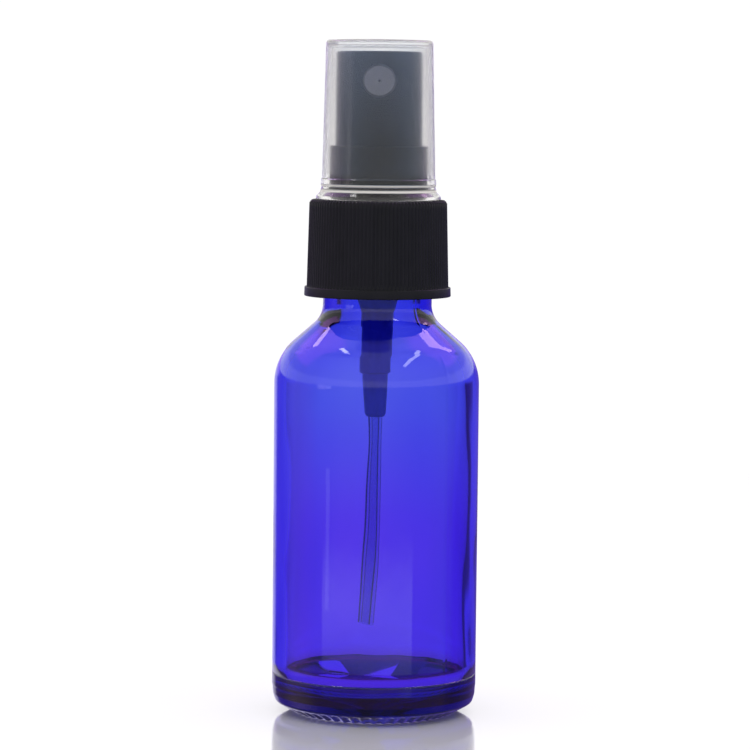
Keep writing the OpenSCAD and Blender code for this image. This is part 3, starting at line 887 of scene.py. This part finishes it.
def make_world():
    """A studio coloured by direction in the room, the same from every camera.

    Seen straight it is white. Light that passes through glass comes from a white backdrop behind the
    bottle, dark sides and a grey front. Reflections show a window in front, violet sides and rear,
    and a dimmer ceiling.
    """
    world = bpy.data.worlds.new("studio")
    world.use_nodes = True
    tree = world.node_tree

    def join(value, socket):
        if isinstance(value, (int, float, tuple)):
            socket.default_value = value
        else:
            tree.links.new(value, socket)

    def maths(operation, *values):
        node = tree.nodes.new("ShaderNodeMath")
        node.operation = operation
        for value, socket in zip(values, node.inputs):
            join(value, socket)
        return node.outputs["Value"]

    def rise(value, low, high):
        node = tree.nodes.new("ShaderNodeMapRange")
        node.interpolation_type = "SMOOTHSTEP"
        node.inputs["From Min"].default_value = low
        node.inputs["From Max"].default_value = high
        join(value, node.inputs["Value"])
        return node.outputs["Result"]

    def blend(factor, low, high):
        node = tree.nodes.new("ShaderNodeMix")
        node.data_type = "RGBA"
        join(factor, node.inputs[0])
        join(low, node.inputs[6])
        join(high, node.inputs[7])
        return node.outputs[2]

    place = tree.nodes.new("ShaderNodeTexCoord")
    parts = tree.nodes.new("ShaderNodeSeparateXYZ")
    path = tree.nodes.new("ShaderNodeLightPath")
    join(place.outputs["Generated"], parts.inputs["Vector"])
    x, y, z = (parts.outputs[axis] for axis in "XYZ")
    aside = math.radians(8)
    squared = maths("ADD", maths("MULTIPLY", x, x), maths("MULTIPLY", y, y))
    flat = maths("MAXIMUM", maths("SQRT", squared), 0.01)
    along = maths("ADD", maths("MULTIPLY", y, math.cos(aside)), maths("MULTIPLY", x, -math.sin(aside)))
    behind = maths("DIVIDE", along, flat)
    backdrop = rise(behind, math.cos(math.radians(47)), math.cos(math.radians(39)))
    in_front = rise(behind, 0.1, -0.3)

    sides = blend(in_front, (0.05, 0.035, 0.13, 1), (0.45, 0.45, 0.48, 1))
    through = blend(maths("MAXIMUM", backdrop, rise(z, -0.04, 0.02)), sides, WHITE)
    through = blend(rise(z, -0.26, -0.60), through, (0.36, 0.20, 0.75, 1))

    left, right = math.sin(math.radians(-62)), math.sin(math.radians(44))
    sideways = maths("DIVIDE", x, flat)
    facing = maths("LESS_THAN", y, 0.0)
    window = maths("MULTIPLY", rise(sideways, left, left + 0.02), rise(sideways, right, right - 0.02))
    window = maths("MULTIPLY", window, facing)
    window = maths("MULTIPLY", window, rise(z, -0.125, -0.155))
    window = maths("MULTIPLY", window, rise(z, -0.185, -0.150))
    left_side = blend(rise(behind, 0.80, 0.30), DEEP_VIOLET, (0.58, 0.40, 0.66, 1))
    left_side = blend(rise(behind, 0.90, 0.97), left_side, (0.75, 0.70, 1.0, 1))
    rear = blend(rise(x, 0.05, -0.05), DEEP_VIOLET, left_side)
    front = blend(rise(z, -0.165, -0.180), (0.33, 0.41, 0.45, 1), (0.33, 0.20, 0.55, 1))
    level = blend(in_front, rear, front)
    soft = maths("MULTIPLY", rise(sideways, -0.95, -0.92), rise(sideways, -0.84, -0.87))
    soft = maths("MULTIPLY", maths("MULTIPLY", soft, facing), rise(z, -0.075, -0.02))
    level = blend(soft, level, (1.6, 1.5, 1.6, 1))
    level = blend(window, level, (1.15, 1.2, 1.15, 1))
    level = blend(rise(z, -0.50, -0.65), level, (0.18, 0.16, 0.36, 1))
    low_back = maths("MULTIPLY", rise(behind, 0.85, 0.95), rise(z, -0.005, 0.02))
    far = blend(rise(z, 0.06, 0.12), (0.70, 0.50, 1.1, 1), NEUTRAL)
    mirrored = blend(low_back, blend(rise(z, 0.05, 0.09), level, NEUTRAL), far)
    corner = maths("MULTIPLY", rise(maths("ABSOLUTE", x), 0.25, 0.42), rise(z, 0.40, 0.50))
    corner = maths("MULTIPLY", corner, rise(y, 0.0, 0.2))
    high = blend(corner, (0.65, 0.65, 0.65, 1), (1.3, 0.7, 1.8, 1))
    mirrored = blend(rise(z, 0.24, 0.32), mirrored, high)
    mirrored = blend(rise(z, 0.965, 0.99), mirrored, (0.20, 0.18, 0.22, 1))

    is_mirrored = maths("SUBTRACT", path.outputs["Is Glossy Ray"], path.outputs["Is Transmission Ray"])
    sky = blend(path.outputs["Is Diffuse Ray"], WHITE, (1.2, 1.2, 1.2, 1))
    sky = blend(path.outputs["Is Transmission Ray"], sky, through)
    sky = blend(maths("MAXIMUM", is_mirrored, 0.0), sky, mirrored)
    join(sky, tree.nodes["Background"].inputs["Color"])
    bpy.context.scene.world = world


def card(name, place, aim, width, tall, radiance, colour=(1, 1, 1)):
    """A glowing card turned to face aim; neither the eye nor light through glass sees it."""
    light = bpy.data.lights.new(name, "AREA")
    light.color = colour
    light.shape = "RECTANGLE"
    light.size, light.size_y = width, tall
    light.energy = radiance * math.pi * width * tall
    thing = bpy.data.objects.new(name, light)
    thing.location = place
    thing.rotation_euler = (Vector(aim) - Vector(place)).to_track_quat("-Z", "Y").to_euler()
    thing.visible_camera = False
    thing.visible_transmission = False
    bpy.context.scene.collection.objects.link(thing)


def strip(name, start, end, width, radiance, colour=(1, 1, 1)):
    """A glowing strip between two points that faces the bottle's shoulder."""
    a, b = Vector(start), Vector(end)
    card(name, (a + b) / 2, SHOULDER_AIM, (b - a).length, width, radiance, colour)
    thing = bpy.data.objects[name]
    normal = (thing.location - Vector(SHOULDER_AIM)).normalized()
    along = (b - a).normalized()
    across = normal.cross(along).normalized()
    along = across.cross(normal)
    thing.rotation_euler = Matrix((along, across, normal)).transposed().to_euler()


def make_lights():
    """Strips high on each side and behind, and narrow upright cards at the left."""
    strip("strip_left", (-0.230, -0.150, 0.600), (-0.260, 0.080, 0.610), 0.045, 9)
    strip("strip_right", (0.270, -0.340, 0.470), (0.300, 0.060, 0.580), 0.040, 5)
    strip("rear_right", (0.280, 0.250, 0.560), (0.400, 0.340, 0.400), 0.07, 3.5, (1.0, 0.62, 1.0))
    card("rear_left", (-0.314, 0.308, 0.470), SHOULDER_AIM, 0.06, 0.05, 4, (1.0, 0.7, 1.0))
    card("upright_card", (-0.405, -0.294, 0.065), (0, 0, 0.065), 0.05, 0.05, 1.3)
    card("low_card", (-0.405, -0.294, -0.035), (0, 0, -0.035), 0.04, 0.045, 0.5)


def make_camera():
    """A long lens just above the cap's height, tipped slightly down."""
    distance, height, pitch, roll = 0.530, 0.09865, math.radians(4.76), math.radians(0.55)
    data = bpy.data.cameras.new("camera")
    data.sensor_width = 36
    data.lens = 158.4
    camera = bpy.data.objects.new("camera", data)
    camera.location = (0, -distance, height)
    turn = Matrix.Rotation(math.pi / 2 - pitch, 4, "X") @ Matrix.Rotation(roll, 4, "Z")
    camera.rotation_euler = turn.to_euler()
    data.shift_x = -0.0022
    bpy.context.scene.collection.objects.link(camera)
    bpy.context.scene.camera = camera


make_camera()
make_bottle()
make_closure()
make_overcap()
make_actuator()
make_nozzle()
make_housing()
white = natural_plastic("inner_natural")
make_lock_ring(white)
make_stem(white)
make_valve_pin(white)
make_piston(white)
make_gasket()
make_spring()
make_ball()
make_tube()
make_floor()
make_world()
make_lights()

scene = bpy.context.scene
scene.view_settings.view_transform = "Standard"
scene.cycles.max_bounces = 24
scene.cycles.transmission_bounces = 20
scene.cycles.glossy_bounces = 8
scene.cycles.transparent_max_bounces = 16
scene.cycles.sample_clamp_indirect = 6
